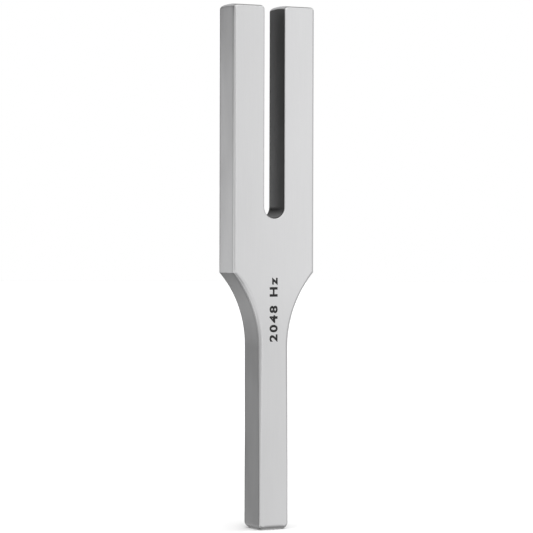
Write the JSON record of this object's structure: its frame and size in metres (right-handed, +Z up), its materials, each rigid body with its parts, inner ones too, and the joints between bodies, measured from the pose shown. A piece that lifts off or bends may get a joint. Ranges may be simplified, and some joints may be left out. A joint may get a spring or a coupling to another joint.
{
  "type": "tuning fork",
  "caption": "Hand-held tuning fork ground from square bar: flat tines, round-bottomed slot, sharp shoulders and flares into a square stem.",
  "frame": {"origin": "centre of the foot of the stem, on the surface it stands on", "axes": "+Z up the stem to the tips of the tines; X across the two tines; the front face looks along -Y"},
  "size_m": [0.0228, 0.0086, 0.1322],
  "materials": {
    "satin_metal": "satin",
    "mark_ink": "matte"
  },
  "bodies": {
    "stem_and_yoke": {"stem": "satin_metal", "yoke": "satin_metal"},
    "left_tine": {"left_tine": "satin_metal"},
    "right_tine": {"right_tine": "satin_metal"}
  },
  "joints": [
    {"name": "left_tine_flex", "type": "hinge", "parent": "stem_and_yoke", "child": "left_tine", "pos_m": [-0.00715, 0, 0.08138], "axis": [0, 1, 0], "range_deg": [-0.2, 0.2], "stiffness_Nm_per_rad": 8},
    {"name": "right_tine_flex", "type": "hinge", "parent": "stem_and_yoke", "child": "right_tine", "pos_m": [0.00715, 0, 0.08138], "axis": [0, 1, 0], "range_deg": [-0.2, 0.2], "stiffness_Nm_per_rad": 8}
  ],
  "couplings": [
    {"joint": "right_tine_flex", "follows": "left_tine_flex", "ratio": -1}
  ]
}
